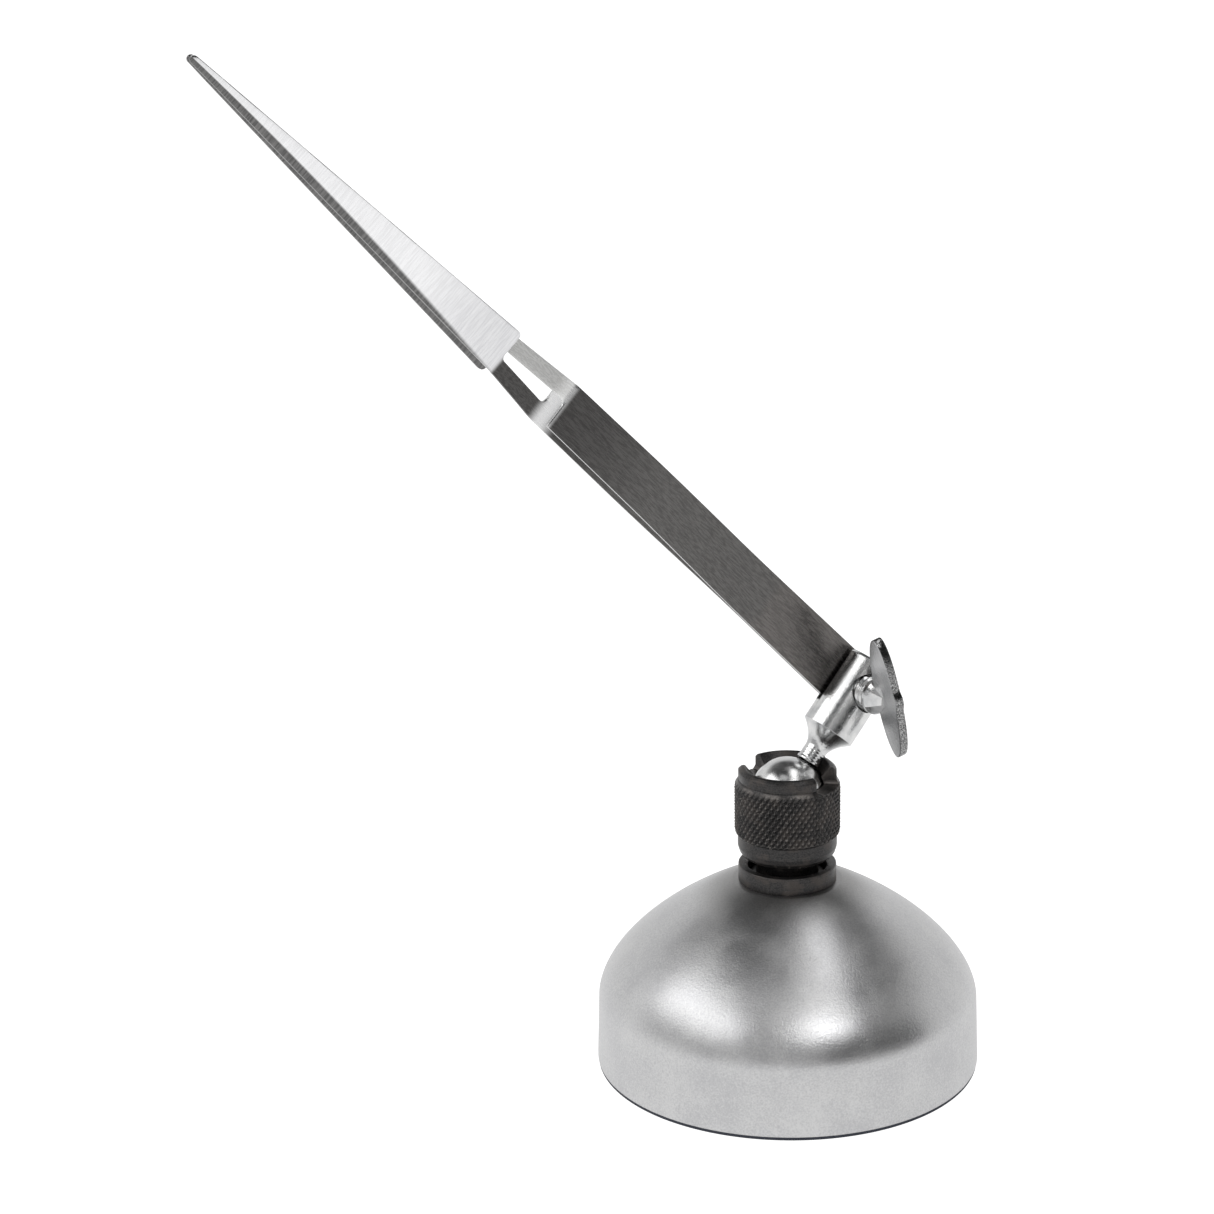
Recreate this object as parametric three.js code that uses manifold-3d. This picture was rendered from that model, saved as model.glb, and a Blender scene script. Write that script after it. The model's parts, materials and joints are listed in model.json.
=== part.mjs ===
// Bench "third hand": a weighted domed base, a lockable ball joint, a slotted clamp with a
// wing screw, and a pair of self-closing cross-lock tweezers.
// Millimetres, +Z up. The origin is the centre of the underside of the base.
import * as THREE from 'three';
import { mergeVertices } from 'three/addons/utils/BufferGeometryUtils.js';
import Module from 'manifold-3d';

const wasm = await Module();
wasm.setup();

// ---------------------------------------------------------------- driving dimensions

const GAP = 0.3;                  // clearance between pieces that touch in turned groups
const ROUND_SEGMENTS = 48;        // facets around a large turned piece
const SMALL_SEGMENTS = 24;        // facets around a small turned piece

// Base: a deep-drawn steel dome with a slightly drafted wall and a flat seat on top.
const BASE_RADIUS = 31.75;
const WALL_TOP_RADIUS = 31.4;
const WALL_HEIGHT = 11.7;
const DOME_TOP = 32.1;
const DOME_SEAT_RADIUS = 9.0;
const DOME_RADIAL_POWER = 1.82;   // exponents of the superelliptic dome profile
const DOME_HEIGHT_POWER = 1.17;
const SHELL_THICKNESS = 1.2;
const RIM_HEIGHT = 0.5;           // the shell's rim stays this far above the table
const PAD_RADIUS = 30.2;
const PAD_THICKNESS = 1.6;

// Post: a threaded stud that runs from the ball seat down through the weight.
const STUD_RADIUS = 5.0;
const STUD_BOTTOM = 3.2;
const STUD_HOLE_RADIUS = 5.3;
const POST_FLANGE_RADIUS = 6.0;
const POST_FLANGE_HEIGHT = 1.2;
const POST_THREAD_RADIUS = 5.5;
const POST_TOP = 40.2;
const POST_CHAMFER = 0.6;
const POST_THREAD_CHAMFER = 0.4;
const ANCHOR_POCKET_RADIUS = 13.0;
const ANCHOR_POCKET_TOP = 12.0;
const WASHER_RADIUS = 11.0;
const WASHER_THICKNESS = 1.6;
const ANCHOR_NUT_FLATS = 16.0;
const ANCHOR_NUT_HEIGHT = 5.0;

// Collar ring around the foot of the post.
const COLLAR_RADIUS = 8.06;
const COLLAR_INNER_RADIUS = 6.5;
const COLLAR_HEIGHT = 2.9;
const COLLAR_BEVEL = 0.5;

// Lock nut: a knurled barrel with a notched neck that closes over the ball.
const NUT_BOTTOM = 36.5;
const NUT_BAND_RADIUS = 8.15;
const NUT_BAND_TOP = 40.1;
const NUT_KNURL_RADIUS = 8.7;
const NUT_KNURL_BOTTOM = 40.8;
const NUT_KNURL_TOP = 48.6;
const NUT_SHOULDER_TOP = 49.6;
const NUT_NECK_RADIUS = 8.05;
const NUT_NECK_TOP = 51.2;
const NUT_CREST_RADIUS = 7.0;     // the neck ends in a blunt, rounded lip
const NUT_CREST_DROP = 0.15;      // from the crest to the lip's outer facet
const NUT_TOP = 51.85;
const NUT_FOOT_RADIUS = 7.2;
const NUT_FOOT_ROUND = 0.95;      // radius of the foot's rounded edge
const NUT_FOOT_HEIGHT = 1.6;      // from the bottom to where the rounded edge ends
const NUT_THREAD_RADIUS = 5.75;
const NUT_THREAD_TOP = 43.6;
const NUT_POCKET_RADIUS = 6.3;
const NUT_LIP_RADIUS = 5.6;
const NUT_LIP_DEPTH = 1.7;        // from the crest down to the ball's opening
const NOTCHES = [[-54, -6], [131, 177]];  // degrees around Z
const NOTCH_FLOOR = 48.9;

// Ball joint.
const BALL_RADIUS = 6.0;
const BALL_HEIGHT = 47.0;         // ball centre above the table
const SEAT_RADIUS = 5.4;
const SEAT_TOP = 43.9;
const SEAT_HOLE_RADIUS = 2.0;
const SPIGOT_RADIUS = 1.5;
const SPIGOT_DEPTH = 3.0;         // distance from the ball centre to the spigot's end

// Rest attitude of the arm.
const LEAN_AZIMUTH = 33.8;        // degrees around Z from +X
const LEAN = 40.8;                // degrees from the vertical
const TWEEZER_ANGLE = 85.5;       // degrees between stem and tweezers
const WING_ANGLE = 54.4;          // degrees between stem and wing, about the screw

// Stem and slotted clamp, measured along the stem from the ball centre.
const NECK_RADIUS = 1.8;
const NECK_SHOULDER = 2.0;
const NECK_START = 6.1;
const NECK_SHOULDER_END = 6.9;
const FLARE_START = 8.4;
const FLARE_POWER = 1.9;          // the flare is hollow, steepest at the clamp
const CLAMP_RADIUS = 4.5;
const CLAMP_START = 12.1;
const CLAMP_END = 25.7;
const CLAMP_CHAMFER = 0.45;
const SLOT_START = 15.6;
const SLOT_NEAR_FACE = 0.8;       // past the stem's axis: the cheek with the screw is the thicker one
const SLOT_WIDTH = 2.35;
const PIVOT = 20.9;

// Thumb screw and wing, measured from the stem's axis along the screw's axis.
const SCREW_RADIUS = 3.0;
const SCREW_HOLE_RADIUS = 3.3;
const SCREW_TIP = -1.1;
const SCREW_CHAMFER = 0.5;
const SCREW_SHOULDER = 6.2;
const SCREW_APEX = 8.6;
const SCREW_APEX_RADIUS = 1.3;
const WING_LENGTH = 21.6;
const WING_WIDTH = 5.4;
const WING_INNER_EDGE = 6.6;
const WING_THICKNESS = 1.6;
const WING_SHIFT = 0.8;           // the wing is longer above the screw than below it

// Tweezers, measured from the pivot along the tweezers.
const STRIP_THICKNESS = 0.7;
const TAIL_WIDTH = 9.4;
const TAIL_THICKNESS = 1.7;
const TAIL_END = 24.0;            // the strips are welded together as far as this
const TAIL_SHIFT = 2.25;          // the screw presses the tail against the far cheek of the slot
const HANDLE_END = 77.8;
const HANDLE_FRONT_WIDTH = 7.8;
const TIP_START = 90.2;
const TIP_END = 158.0;
const TIP_POINT_WIDTH = 1.2;
const SPREAD_END = 60.0;          // from here the handles run parallel
const HANDLE_BOW = 2.4;           // strip centre to mid-plane where the handles are parallel
const TIP_BOW = 1.0;              // strip centre to mid-plane at the root of the tip blade
const CLOSED_OFFSET = 0.5;        // strip centre to mid-plane where the strips meet
const CROSSING_INNER = 0.85;      // inner edge of the narrow crossing strip
const BLADE_STATIONS = 12;        // steps along each curved stretch of a strip

// ---------------------------------------------------------------- helpers

const radians = THREE.MathUtils.degToRad;

function material(color, roughness, metalness) {
  return new THREE.MeshStandardMaterial({ color, roughness, metalness });
}

// Points on a circular arc; angles are in degrees.
function arc(centreX, centreY, radius, from, to, steps) {
  return Array.from({ length: steps + 1 }, (_, step) => {
    const angle = radians(from + ((to - from) * step) / steps);
    return [centreX + radius * Math.cos(angle), centreY + radius * Math.sin(angle)];
  });
}

// A closed solid for joining and cutting, from any closed three.js geometry.
function asSolid(geometry) {
  geometry.deleteAttribute('normal');
  geometry.deleteAttribute('uv');
  const merged = mergeVertices(geometry, 1e-5);
  const corners = merged.index.array;
  const triVerts = [];
  for (let i = 0; i < corners.length; i += 3) {
    const [a, b, c] = corners.slice(i, i + 3);
    if (a !== b && b !== c && c !== a) {
      triVerts.push(a, b, c);
    }
  }
  const vertProperties = new Float32Array(merged.attributes.position.array);
  const mesh = new wasm.Mesh({ numProp: 3, vertProperties, triVerts: new Uint32Array(triVerts) });
  return new wasm.Manifold(mesh);
}

function asGeometry(solid) {
  const mesh = solid.getMesh();
  const geometry = new THREE.BufferGeometry();
  geometry.setAttribute('position', new THREE.BufferAttribute(mesh.vertProperties, 3));
  geometry.setIndex(new THREE.BufferAttribute(mesh.triVerts, 1));
  geometry.computeVertexNormals();
  return geometry;
}

// A solid turned about Z. The outline lists [radius, height] anticlockwise.
function turned(outline, segments = ROUND_SEGMENTS) {
  const points = outline.map(([radius, height]) => new THREE.Vector2(radius, height));
  const geometry = new THREE.LatheGeometry(points, segments);
  geometry.rotateX(Math.PI / 2);
  return asSolid(geometry);
}

// A ring turned about Z, from a closed outline.
function turnedRing(outline, segments = ROUND_SEGMENTS) {
  return turned([...outline, outline[0]], segments);
}

function rod(radius, bottom, top, segments = SMALL_SEGMENTS) {
  return turned([[0, bottom], [radius, bottom], [radius, top], [0, top]], segments);
}

function prismGeometry(outline, bottom, top) {
  const shape = new THREE.Shape(outline.map(([x, y]) => new THREE.Vector2(x, y)));
  const geometry = new THREE.ExtrudeGeometry(shape, { depth: top - bottom, bevelEnabled: false });
  geometry.translate(0, 0, bottom);
  return geometry;
}

function prism(outline, bottom, top) {
  return asSolid(prismGeometry(outline, bottom, top));
}

function block(sizeX, sizeY, sizeZ, x, y, z) {
  const geometry = new THREE.BoxGeometry(sizeX, sizeY, sizeZ);
  geometry.translate(x, y, z);
  return asSolid(geometry);
}

function ball(radius, z, segments) {
  const geometry = new THREE.SphereGeometry(radius, segments, segments / 2);
  geometry.rotateX(Math.PI / 2);
  geometry.translate(0, 0, z);
  return asSolid(geometry);
}

function addPiece(parent, name, solid, look) {
  const mesh = new THREE.Mesh(asGeometry(solid), look);
  mesh.name = name;
  parent.add(mesh);
}

// ---------------------------------------------------------------- base

// Points on the dome from the top of the wall to the edge of the seat, set in by `inset`.
function domeProfile(inset, steps) {
  return Array.from({ length: steps + 1 }, (_, step) => {
    const angle = (Math.PI / 2) * (step / steps);
    const reach = WALL_TOP_RADIUS - DOME_SEAT_RADIUS - inset / 2;
    const rise = DOME_TOP - WALL_HEIGHT - inset;
    return [
      DOME_SEAT_RADIUS - inset / 2 + reach * Math.cos(angle) ** DOME_RADIAL_POWER,
      WALL_HEIGHT + rise * Math.sin(angle) ** DOME_HEIGHT_POWER,
    ];
  });
}

function baseShell() {
  const outside = domeProfile(0, 11);
  const inside = domeProfile(SHELL_THICKNESS, 6).reverse();
  return turnedRing([
    [BASE_RADIUS, RIM_HEIGHT],
    ...outside,
    [STUD_HOLE_RADIUS, DOME_TOP],
    [STUD_HOLE_RADIUS, DOME_TOP - SHELL_THICKNESS],
    ...inside,
    [BASE_RADIUS - SHELL_THICKNESS, RIM_HEIGHT],
  ]);
}

function baseWeight() {
  const outside = domeProfile(SHELL_THICKNESS + 2 * GAP, 6);
  return turnedRing([
    [ANCHOR_POCKET_RADIUS, PAD_THICKNESS],
    [WALL_TOP_RADIUS - SHELL_THICKNESS - GAP, PAD_THICKNESS],
    ...outside,
    [STUD_HOLE_RADIUS, DOME_TOP - SHELL_THICKNESS - 2 * GAP],
    [STUD_HOLE_RADIUS, ANCHOR_POCKET_TOP],
    [ANCHOR_POCKET_RADIUS, ANCHOR_POCKET_TOP],
  ]);
}

function basePad() {
  return rod(PAD_RADIUS, 0, PAD_THICKNESS, ROUND_SEGMENTS);
}

function socketPost() {
  const flangeTop = DOME_TOP + POST_FLANGE_HEIGHT;
  return turned([
    [0, STUD_BOTTOM],
    [STUD_RADIUS - POST_CHAMFER, STUD_BOTTOM],
    [STUD_RADIUS, STUD_BOTTOM + POST_CHAMFER],
    [STUD_RADIUS, DOME_TOP],
    [POST_FLANGE_RADIUS, DOME_TOP],
    [POST_FLANGE_RADIUS, flangeTop],
    [STUD_RADIUS, flangeTop],
    [STUD_RADIUS, NUT_BOTTOM - 1],
    [POST_THREAD_RADIUS, NUT_BOTTOM - 0.5],
    [POST_THREAD_RADIUS, POST_TOP - POST_THREAD_CHAMFER],
    [POST_THREAD_RADIUS - POST_THREAD_CHAMFER, POST_TOP],
    [0, POST_TOP],
  ], SMALL_SEGMENTS);
}

function collarRing() {
  const top = DOME_TOP + COLLAR_HEIGHT;
  return turnedRing([
    [COLLAR_INNER_RADIUS, DOME_TOP],
    [COLLAR_RADIUS, DOME_TOP],
    [COLLAR_RADIUS, top - COLLAR_BEVEL / 3],
    [COLLAR_RADIUS - COLLAR_BEVEL / 3, top],
    [COLLAR_INNER_RADIUS + COLLAR_BEVEL, top],
    [COLLAR_INNER_RADIUS, top - COLLAR_BEVEL],
  ]);
}

function anchorWasher() {
  const bottom = ANCHOR_POCKET_TOP - WASHER_THICKNESS;
  return turnedRing([
    [STUD_HOLE_RADIUS, bottom],
    [WASHER_RADIUS, bottom],
    [WASHER_RADIUS, ANCHOR_POCKET_TOP],
    [STUD_HOLE_RADIUS, ANCHOR_POCKET_TOP],
  ], SMALL_SEGMENTS);
}

function anchorNut() {
  const top = ANCHOR_POCKET_TOP - WASHER_THICKNESS;
  const corners = arc(0, 0, ANCHOR_NUT_FLATS / Math.sqrt(3), 0, 300, 5);
  const hex = prism(corners, top - ANCHOR_NUT_HEIGHT, top);
  return hex.subtract(rod(STUD_HOLE_RADIUS, top - ANCHOR_NUT_HEIGHT - 1, top + 1));
}

// ---------------------------------------------------------------- lock nut and ball joint

function notchCutter([from, to]) {
  const inside = arc(0, 0, NUT_LIP_RADIUS / 2, to, from, 4);
  const outside = arc(0, 0, NUT_KNURL_RADIUS * 1.4, from, to, 4);
  const outline = [...inside, ...outside];
  return prism(outline, NOTCH_FLOOR, NUT_TOP + 1);
}

function lockNut() {
  const barrel = turnedRing([
    [NUT_THREAD_RADIUS, NUT_BOTTOM],
    [NUT_FOOT_RADIUS, NUT_BOTTOM],
    ...arc(NUT_FOOT_RADIUS, NUT_BOTTOM + NUT_FOOT_HEIGHT, NUT_FOOT_ROUND, -60, 0, 3),
    [NUT_BAND_RADIUS, NUT_BAND_TOP],
    [NUT_KNURL_RADIUS, NUT_KNURL_BOTTOM],
    [NUT_KNURL_RADIUS, NUT_KNURL_TOP],
    [NUT_BAND_RADIUS, NUT_SHOULDER_TOP],
    [NUT_NECK_RADIUS, NUT_SHOULDER_TOP],
    [NUT_NECK_RADIUS, NUT_NECK_TOP],
    [(NUT_NECK_RADIUS + NUT_CREST_RADIUS) / 2, NUT_TOP - NUT_CREST_DROP],
    [NUT_CREST_RADIUS, NUT_TOP],
    [NUT_LIP_RADIUS, NUT_TOP - NUT_LIP_DEPTH],
    [NUT_LIP_RADIUS, NUT_THREAD_TOP],
    [NUT_THREAD_RADIUS, NUT_THREAD_TOP],
  ]);
  const pocket = rod(NUT_POCKET_RADIUS, NUT_THREAD_TOP, BALL_HEIGHT, ROUND_SEGMENTS);
  const dome = ball(NUT_POCKET_RADIUS, BALL_HEIGHT, ROUND_SEGMENTS);
  const hollowed = barrel.subtract(pocket).subtract(dome);
  return NOTCHES.reduce((nut, notch) => nut.subtract(notchCutter(notch)), hollowed);
}

function ballSeat() {
  const blank = turnedRing([
    [SEAT_HOLE_RADIUS, POST_TOP],
    [SEAT_RADIUS, POST_TOP],
    [SEAT_RADIUS, SEAT_TOP],
    [SEAT_HOLE_RADIUS, SEAT_TOP],
  ], ROUND_SEGMENTS);
  return blank.subtract(ball(BALL_RADIUS + GAP / 3, BALL_HEIGHT, ROUND_SEGMENTS));
}

// The ball is centred on its own origin, with a blind hole up its +Z side.
function swivelBall() {
  const hole = rod(SPIGOT_RADIUS + GAP, SPIGOT_DEPTH - GAP, BALL_RADIUS + 1);
  return ball(BALL_RADIUS, 0, 32).subtract(hole);
}

// ---------------------------------------------------------------- stem, clamp and screw

function clampBody() {
  const flareDrop = CLAMP_START - FLARE_START;
  const flare = Array.from({ length: 7 }, (_, step) => {
    const share = step / 6;
    const swell = (CLAMP_RADIUS - NECK_RADIUS) * share ** FLARE_POWER;
    return [NECK_RADIUS + swell, FLARE_START + flareDrop * share];
  });
  const blank = turned([
    [0, SPIGOT_DEPTH],
    [SPIGOT_RADIUS, SPIGOT_DEPTH],
    [SPIGOT_RADIUS, NECK_START],
    [NECK_SHOULDER, NECK_START],
    [NECK_SHOULDER, NECK_SHOULDER_END],
    [NECK_RADIUS, NECK_SHOULDER_END + GAP],
    ...flare,
    [CLAMP_RADIUS, CLAMP_END - CLAMP_CHAMFER],
    [CLAMP_RADIUS - CLAMP_CHAMFER, CLAMP_END],
    [0, CLAMP_END],
  ], ROUND_SEGMENTS);
  const slotTop = CLAMP_END + 1;
  const slotMiddle = (SLOT_START + slotTop) / 2;
  const slotAcross = SLOT_NEAR_FACE + SLOT_WIDTH / 2;
  const slotLength = 3 * CLAMP_RADIUS;
  const slot = block(slotLength, SLOT_WIDTH, slotTop - SLOT_START, 0, slotAcross, slotMiddle);
  const holeEnd = slotAcross;
  const holeStart = -CLAMP_RADIUS - 1;
  const radius = SCREW_HOLE_RADIUS;
  const screwHole = new THREE.CylinderGeometry(radius, radius, holeEnd - holeStart, SMALL_SEGMENTS);
  screwHole.translate(0, (holeStart + holeEnd) / 2, PIVOT);
  return blank.subtract(slot).subtract(asSolid(screwHole));
}

// The screw and its wing are modelled along +Z; the wing's length runs along +X.
function thumbScrew() {
  const blank = turned([
    [0, SCREW_TIP],
    [SCREW_RADIUS - SCREW_CHAMFER, SCREW_TIP],
    [SCREW_RADIUS, SCREW_TIP + SCREW_CHAMFER],
    [SCREW_RADIUS, SCREW_SHOULDER],
    [SCREW_APEX_RADIUS, SCREW_APEX],
    [0, SCREW_APEX],
  ], SMALL_SEGMENTS);
  const slotBottom = WING_INNER_EDGE - GAP / 3;
  const slotTop = SCREW_APEX + 1;
  const slotLength = 3 * SCREW_RADIUS;
  const slotWidth = WING_THICKNESS + GAP / 2;
  const slotMiddle = (slotBottom + slotTop) / 2;
  const slot = block(slotLength, slotWidth, slotTop - slotBottom, 0, 0, slotMiddle);
  return blank.subtract(slot);
}

function wingPlate() {
  const middle = WING_INNER_EDGE + WING_WIDTH / 2;
  const outline = new THREE.EllipseCurve(WING_SHIFT, middle, WING_LENGTH / 2, WING_WIDTH / 2);
  const points = outline.getPoints(40).slice(0, -1).map((point) => [point.x, point.y]);
  const geometry = prismGeometry(points, -WING_THICKNESS / 2, WING_THICKNESS / 2);
  geometry.rotateX(Math.PI / 2);
  return asSolid(geometry);
}

// ---------------------------------------------------------------- tweezers

function tweezerTail() {
  const half = TAIL_WIDTH / 2;
  const outline = [[TAIL_END, -half], [TAIL_END, half], ...arc(0, 0, half, 90, 270, 12)];
  return prism(outline, -TAIL_THICKNESS / 2, TAIL_THICKNESS / 2);
}

// Distance of a strip's centre from the mid-plane, negative on the side of its handle.
function stripOffset(x) {
  if (x <= HANDLE_END) {
    const share = THREE.MathUtils.smoothstep(x, TAIL_END, SPREAD_END);
    return -THREE.MathUtils.lerp(CLOSED_OFFSET, HANDLE_BOW, share);
  }
  if (x <= TIP_START) {
    const share = (x - HANDLE_END) / (TIP_START - HANDLE_END);
    return THREE.MathUtils.lerp(-HANDLE_BOW, TIP_BOW, share);
  }
  const share = (x - TIP_START) / (TIP_END - TIP_START);
  return THREE.MathUtils.lerp(CLOSED_OFFSET, TIP_BOW, Math.sqrt(1 - share ** 3));
}

function stations(from, to, steps) {
  return Array.from({ length: steps + 1 }, (_, step) => from + ((to - from) * step) / steps);
}

// One spring strip: its side view, pushed across the full width, trimmed to its plan outline.
// `side` is +1 for the strip whose narrow crossing runs along the upper edge.
function blade(side) {
  const start = TAIL_END + GAP;
  const along = [
    ...stations(start, HANDLE_END, BLADE_STATIONS),
    ...stations(HANDLE_END + 1, TIP_START - 1, 2),
    ...stations(TIP_START, TIP_END, BLADE_STATIONS),
  ];
  const thick = STRIP_THICKNESS / 2;
  const lower = along.map((x) => [x, side * stripOffset(x) - thick]);
  const upper = along.map((x) => [x, side * stripOffset(x) + thick]).reverse();
  const sideView = prismGeometry([...lower, ...upper], -TAIL_WIDTH, TAIL_WIDTH);
  sideView.rotateX(Math.PI / 2);

  const tailHalf = TAIL_WIDTH / 2;
  const frontHalf = HANDLE_FRONT_WIDTH / 2;
  const pointHalf = TIP_POINT_WIDTH / 2;
  const inner = side * CROSSING_INNER;
  const outer = side * frontHalf;
  const plan = [
    [start - 1, -side * tailHalf],
    [HANDLE_END, -side * frontHalf],
    [HANDLE_END, inner],
    [TIP_START, inner],
    [TIP_START, -outer],
    [TIP_END - pointHalf, -side * pointHalf],
    [TIP_END, 0],
    [TIP_END - pointHalf, side * pointHalf],
    [TIP_START, outer],
    [HANDLE_END, outer],
    [start - 1, side * tailHalf],
  ];
  const trim = prism(plan, -TAIL_WIDTH, TAIL_WIDTH);
  return asSolid(sideView).intersect(trim);
}

// ---------------------------------------------------------------- assembly

const satinNickel = () => material(0xb9babb, 0.42, 1.0);
const blackOxide = () => material(0x3a3836, 0.5, 0.8);
const chrome = () => material(0xd8dadb, 0.12, 1.0);
const zincPlate = () => material(0xc4c6c6, 0.25, 1.0);
const brushedSteel = () => material(0x8d8c8a, 0.35, 1.0);

const group = new THREE.Group();

addPiece(group, 'base_shell', baseShell(), satinNickel());
addPiece(group, 'base_weight', baseWeight(), material(0x4a4845, 0.8, 0.6));
addPiece(group, 'base_pad', basePad(), material(0x20242a, 0.9, 0));
addPiece(group, 'collar_ring', collarRing(), blackOxide());
addPiece(group, 'socket_post', socketPost(), blackOxide());
addPiece(group, 'anchor_washer', anchorWasher(), zincPlate());
addPiece(group, 'anchor_nut', anchorNut(), zincPlate());
addPiece(group, 'lock_nut', lockNut(), blackOxide());
addPiece(group, 'ball_seat', ballSeat(), material(0xd9d4c6, 0.6, 0));

// The arm's frame: +Z runs up the stem and -Y points along the thumb screw.
const swivel = new THREE.Group();
swivel.position.z = BALL_HEIGHT;
swivel.rotation.z = radians(LEAN_AZIMUTH);
group.add(swivel);

const arm = new THREE.Group();
arm.rotation.y = radians(LEAN);
swivel.add(arm);

addPiece(arm, 'swivel_ball', swivelBall(), chrome());
addPiece(arm, 'clamp_body', clampBody(), chrome());

const screw = new THREE.Group();
const wingTurn = radians(WING_ANGLE);
const wingAlong = new THREE.Vector3(-Math.sin(wingTurn), 0, Math.cos(wingTurn));
const screwAlong = new THREE.Vector3(0, -1, 0);
const wingNormal = new THREE.Vector3().crossVectors(screwAlong, wingAlong);
const screwBasis = new THREE.Matrix4().makeBasis(wingAlong, wingNormal, screwAlong);
screw.quaternion.setFromRotationMatrix(screwBasis);
screw.position.z = PIVOT;
arm.add(screw);

addPiece(screw, 'thumb_screw', thumbScrew(), chrome());
addPiece(screw, 'wing_plate', wingPlate(), zincPlate());

// The tweezers' frame: +X runs to the tips, +Y to the upper edge, +Z away from the screw.
const tweezers = new THREE.Group();
const reach = radians(TWEEZER_ANGLE);
const tipward = new THREE.Vector3(-Math.sin(reach), 0, Math.cos(reach));
const across = new THREE.Vector3(0, 1, 0);
const upward = new THREE.Vector3().crossVectors(across, tipward);
const tweezerBasis = new THREE.Matrix4().makeBasis(tipward, upward, across);
tweezers.quaternion.setFromRotationMatrix(tweezerBasis);
tweezers.position.set(0, TAIL_SHIFT, PIVOT);
arm.add(tweezers);

addPiece(tweezers, 'tweezer_tail', tweezerTail(), brushedSteel());
addPiece(tweezers, 'blade_front', blade(1), brushedSteel());
addPiece(tweezers, 'blade_back', blade(-1), brushedSteel());

export default group;
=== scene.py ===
"""A bench third hand: a weighted satin dome, a black lock nut over a ball joint, a slotted clamp
with a wing screw, and self-closing cross-lock tweezers.

Pieces are drawn in millimetres in a frame of their own and placed in metres in the CAD's frame.
"""
import json
import math

import bmesh
import bpy
import numpy as np
from mathutils import Matrix, Vector


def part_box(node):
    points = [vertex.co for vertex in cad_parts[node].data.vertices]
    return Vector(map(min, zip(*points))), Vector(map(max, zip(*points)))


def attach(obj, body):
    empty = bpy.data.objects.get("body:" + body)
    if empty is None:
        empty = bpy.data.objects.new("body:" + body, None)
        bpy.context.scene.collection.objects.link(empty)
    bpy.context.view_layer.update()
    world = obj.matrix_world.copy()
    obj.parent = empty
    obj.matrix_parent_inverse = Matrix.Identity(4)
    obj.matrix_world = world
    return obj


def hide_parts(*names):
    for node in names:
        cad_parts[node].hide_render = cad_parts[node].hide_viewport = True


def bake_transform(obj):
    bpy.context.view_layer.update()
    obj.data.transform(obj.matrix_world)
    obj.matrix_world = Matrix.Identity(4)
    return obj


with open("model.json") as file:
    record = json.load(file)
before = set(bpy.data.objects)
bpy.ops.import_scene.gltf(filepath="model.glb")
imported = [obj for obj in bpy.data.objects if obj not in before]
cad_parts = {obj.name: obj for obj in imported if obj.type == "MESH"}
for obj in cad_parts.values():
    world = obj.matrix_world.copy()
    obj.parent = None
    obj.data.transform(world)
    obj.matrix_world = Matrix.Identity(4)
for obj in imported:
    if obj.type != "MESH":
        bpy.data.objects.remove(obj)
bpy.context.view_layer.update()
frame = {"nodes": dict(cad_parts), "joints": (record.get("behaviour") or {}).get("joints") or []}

MM = 0.001
JOINTS = {joint["name"]: joint for joint in frame["joints"]}


# ------------------------------------------------------------------ frames of the moving pieces

def joint_place(name):
    return Vector(JOINTS[name]["pos_m"])


def joint_axis(name):
    return Vector(JOINTS[name]["axis"]).normalized()


def placement(x_axis, z_axis, origin):
    """Matrix from a piece's own millimetres to the CAD frame's metres."""
    y_axis = z_axis.cross(x_axis).normalized()
    matrix = Matrix((x_axis, y_axis, z_axis)).transposed().to_4x4()
    return Matrix.Translation(origin) @ matrix @ Matrix.Scale(MM, 4)


def box_mm(node):
    low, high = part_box(node)
    return low / MM, high / MM


WING_ANGLE = math.radians(54.4)     # between the stem and the wing, about the screw

UPRIGHT = Matrix.Scale(MM, 4)
STEM_AXIS = joint_axis("stem_spin")
STEM_SIDE = joint_axis("ball_tilt").cross(STEM_AXIS)
STEM = placement(STEM_SIDE, STEM_AXIS, joint_place("ball_tilt"))

WING_AXIS = math.cos(WING_ANGLE) * STEM_AXIS - math.sin(WING_ANGLE) * STEM_SIDE
SCREW = placement(WING_AXIS, joint_axis("screw_turn"), joint_place("screw_turn"))

TIPWARD = (joint_place("blade_front_squeeze") - joint_place("tweezer_swing")).normalized()
TWEEZERS = placement(TIPWARD, joint_axis("tweezer_swing"), joint_place("tweezer_swing"))

# ------------------------------------------------------------------ dimensions, in millimetres

SHELL_LOW, SHELL_HIGH = box_mm("base_shell")
PAD_TOP = box_mm("base_pad")[1].z
COLLAR_LOW, COLLAR_HIGH = box_mm("collar_ring")
POST_LOW, POST_HIGH = box_mm("socket_post")
NUT_LOW, NUT_HIGH = box_mm("lock_nut")

BASE_RADIUS = SHELL_HIGH.x
RIM_HEIGHT = SHELL_LOW.z
DOME_TOP = SHELL_HIGH.z
WALL_TOP_RADIUS = BASE_RADIUS - 0.35
WALL_HEIGHT = 11.7
DOME_SEAT_RADIUS = 9.0
DOME_RADIAL_POWER = 1.82            # exponents of the superelliptic dome profile
DOME_HEIGHT_POWER = 1.17
SHELL_THICKNESS = 1.2
SHELL_HOLE_RADIUS = 5.3             # for the post
PAINTED_SHADE_REACH = 8.0                 # of the painted shade round the collar, outwards from the dome's seat
PAD_INSET = 0.12                    # from the rim's edge

FLANGE_RADIUS = 6.0                 # of the post
FLANGE_THICKNESS = 1.2
STUD_RADIUS = 5.0
POST_THREAD_RADIUS = 5.5

COLLAR_INNER_RADIUS = 6.5
COLLAR_CHAMFER = 0.45

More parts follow.
